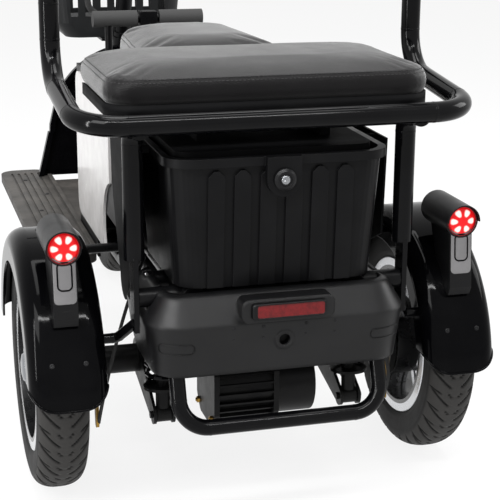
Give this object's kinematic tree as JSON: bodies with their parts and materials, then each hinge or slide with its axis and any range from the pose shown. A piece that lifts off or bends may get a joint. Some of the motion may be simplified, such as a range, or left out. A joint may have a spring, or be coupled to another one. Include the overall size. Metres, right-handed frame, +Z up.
{
  "type": "electric tricycle",
  "caption": "Electric tricycle with a steered front wheel, driver's seat, rear bench over a lidded storage box, tube seat rail, foot boards and front basket.",
  "frame": {"origin": "on the ground, under the middle of the tricycle's box", "axes": "+X to the rider's right, +Y forward, +Z up"},
  "size_m": [0.768, 1.7086, 1.0306],
  "materials": {
    "frame_paint": "black powder coat",
    "rail_gloss": "gloss black enamel",
    "axle_black": "satin black over cast steel",
    "motor_black": "black coat on a finned housing",
    "spring_black": "gloss black coated wire",
    "zinc_yellow": "yellow zinc plate",
    "steel": "bright turned steel",
    "bumper_grey": "grained grey-black moulding",
    "board_grey": "ribbed grey-black moulding",
    "box_black": "satin black moulding",
    "basket_grey": "grey moulding",
    "fender_gloss": "gloss black moulding",
    "red_lens": "clear red moulding",
    "clear_lens": "clear lens",
    "white_panel": "white moulding",
    "battery_case": "battery case",
    "seat_cover": "black leatherette",
    "grip_rubber": "black grip rubber",
    "tyre": "road tyre rubber",
    "alloy": "silver cast alloy",
    "control_black": "black moulded controls",
    "loom_black": "black sleeving"
  },
  "bodies": {
    "chassis": {"main_frame": "frame_paint", "rear_axle": "axle_black", "motor": "motor_black", "shock_dampers": "axle_black", "shock_springs": "spring_black", "brake_arms": "zinc_yellow", "rear_guard": "rail_gloss", "bumper": "bumper_grey", "reflector": "red_lens", "fender_left": "fender_gloss", "fender_right": "fender_gloss", "lamp_left": "fender_gloss", "lamp_right": "fender_gloss", "lens_left": "red_lens", "lens_right": "red_lens", "foot_board_left": "board_grey", "foot_board_right": "board_grey", "floor_plate": "board_grey", "leg_shield": "fender_gloss", "seat_pedestal": "box_black", "side_panel_left": "white_panel", "side_panel_right": "white_panel", "side_cover_left": "fender_gloss", "side_cover_right": "fender_gloss", "battery_block": "battery_case", "driver_seat": "seat_cover", "storage_box": "box_black", "box_lock": "steel", "hinge_ears": "frame_paint", "seat_rail": "rail_gloss", "back_pad": "seat_cover", "grab_bar": "frame_paint", "grab_grips": "grip_rubber", "basket": "basket_grey"},
    "seat_lid": {"box_lid": "fender_gloss", "seat_pan": "frame_paint", "rear_seat": "seat_cover"},
    "rear_wheel_left": {"tyre_rear_left": "tyre", "wheel_rear_left": "alloy"},
    "rear_wheel_right": {"tyre_rear_right": "tyre", "wheel_rear_right": "alloy"},
    "steering": {"fork": "frame_paint", "front_axle": "steel", "front_fender": "fender_gloss", "headlamp": "fender_gloss", "headlamp_lens": "clear_lens", "handlebar": "frame_paint", "hand_grips": "grip_rubber", "brake_levers": "control_black", "display": "control_black", "cable_loom": "loom_black"},
    "front_wheel": {"tyre_front": "tyre", "wheel_front": "alloy"}
  },
  "joints": [
    {"name": "rear_left_spin", "type": "hinge", "parent": "chassis", "child": "rear_wheel_left", "pos_m": [-0.328, -0.54825, 0.2025], "axis": [1, 0, 0], "continuous": true},
    {"name": "rear_right_spin", "type": "hinge", "parent": "chassis", "child": "rear_wheel_right", "pos_m": [0.328, -0.54825, 0.2025], "axis": [1, 0, 0], "continuous": true},
    {"name": "steer", "type": "hinge", "parent": "chassis", "child": "steering", "pos_m": [0, 0.65175, 0.2025], "axis": [0, -0.342, 0.9397], "range_deg": [-40, 40]},
    {"name": "front_spin", "type": "hinge", "parent": "steering", "child": "front_wheel", "pos_m": [0, 0.65175, 0.2025], "axis": [1, 0, 0], "continuous": true},
    {"name": "seat_lift", "type": "hinge", "parent": "chassis", "child": "seat_lid", "pos_m": [0, -0.48825, 0.6557], "axis": [-1, 0, 0], "range_deg": [0, 70]}
  ]
}
